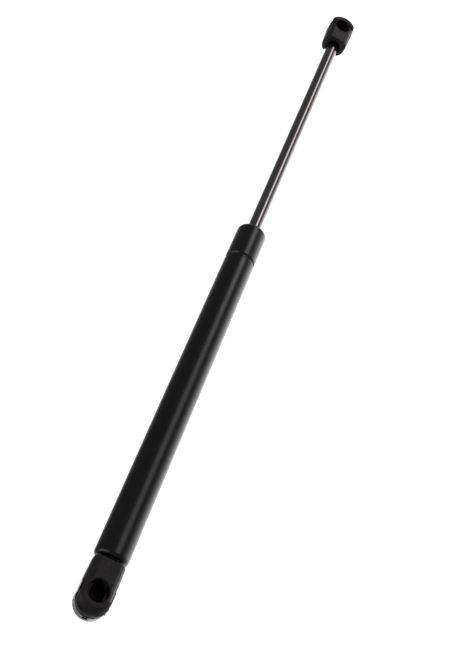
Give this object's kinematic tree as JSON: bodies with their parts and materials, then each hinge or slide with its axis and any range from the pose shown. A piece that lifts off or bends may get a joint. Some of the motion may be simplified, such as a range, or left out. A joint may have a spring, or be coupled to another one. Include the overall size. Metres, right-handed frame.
{
  "type": "gas strut stay",
  "caption": "Gas spring stay: a slim damped rod slides from a pressure tube, with a clip-retained ball socket at each end, to lift and hold a lid, hatch or shutter.",
  "frame": {"origin": "centre of the ball seat in the tube-side socket", "axes": "+X along the strut from the tube-side socket to the rod-side socket, +Z out of both sockets' mouths, +Y completes the right-handed frame"},
  "size_m": [0.4649, 0.018, 0.018],
  "materials": {
    "tube_paint": "smooth black semi-gloss paint",
    "rod_steel": "ground and dark-nitrided, fine rings round the rod",
    "moulded_plastic": "black glass-filled nylon, fine moulded grain",
    "clip_steel": "blank spring steel strip",
    "zinc_steel": "zinc-plated thread",
    "plain_steel": "turned and stamped steel",
    "seal_rubber": "matt black nitrile",
    "seal_plastic": "natural acetal",
    "ring_plastic": "filled PTFE",
    "guide_metal": "sintered steel, fine pores",
    "bush_bronze": "bronze-backed PTFE lining"
  },
  "bodies": {
    "barrel": {"pressure_tube": "tube_paint", "base_plug": "plain_steel", "base_plug_o_ring": "seal_rubber", "base_stud": "zinc_steel", "seal_support_ring": "seal_plastic", "rod_seal": "seal_rubber", "seal_backup_washer": "seal_plastic", "rod_guide": "guide_metal", "guide_bush": "bush_bronze", "guide_o_ring": "seal_rubber", "rod_wiper": "seal_rubber", "closing_washer": "plain_steel", "tube_socket": "moulded_plastic"},
    "tube_clip": {"tube_socket_clip": "clip_steel"},
    "ring": {"piston_ring": "ring_plastic"},
    "rod": {"piston_rod": "rod_steel", "stop_disc": "plain_steel", "metering_piston": "guide_metal", "valve_washer": "plain_steel", "rod_socket": "moulded_plastic"},
    "rod_clip": {"rod_socket_clip": "clip_steel"}
  },
  "joints": [
    {"name": "rod_slide", "type": "slide", "parent": "barrel", "child": "ring", "axis": [1, 0, 0], "range_m": [-0.17, 0], "stiffness_N_per_m": 2, "springref_m": 0.5},
    {"name": "rod_spin", "type": "hinge", "parent": "ring", "child": "rod", "pos_m": [0.2, 0, 0], "axis": [1, 0, 0], "continuous": true},
    {"name": "tube_clip_slide", "type": "slide", "parent": "barrel", "child": "tube_clip", "axis": [-1, 0, 0], "range_m": [0, 0.0074], "stiffness_N_per_m": 200, "springref_m": -0.001},
    {"name": "rod_clip_slide", "type": "slide", "parent": "rod", "child": "rod_clip", "axis": [1, 0, 0], "range_m": [0, 0.0074], "stiffness_N_per_m": 200, "springref_m": -0.001}
  ]
}
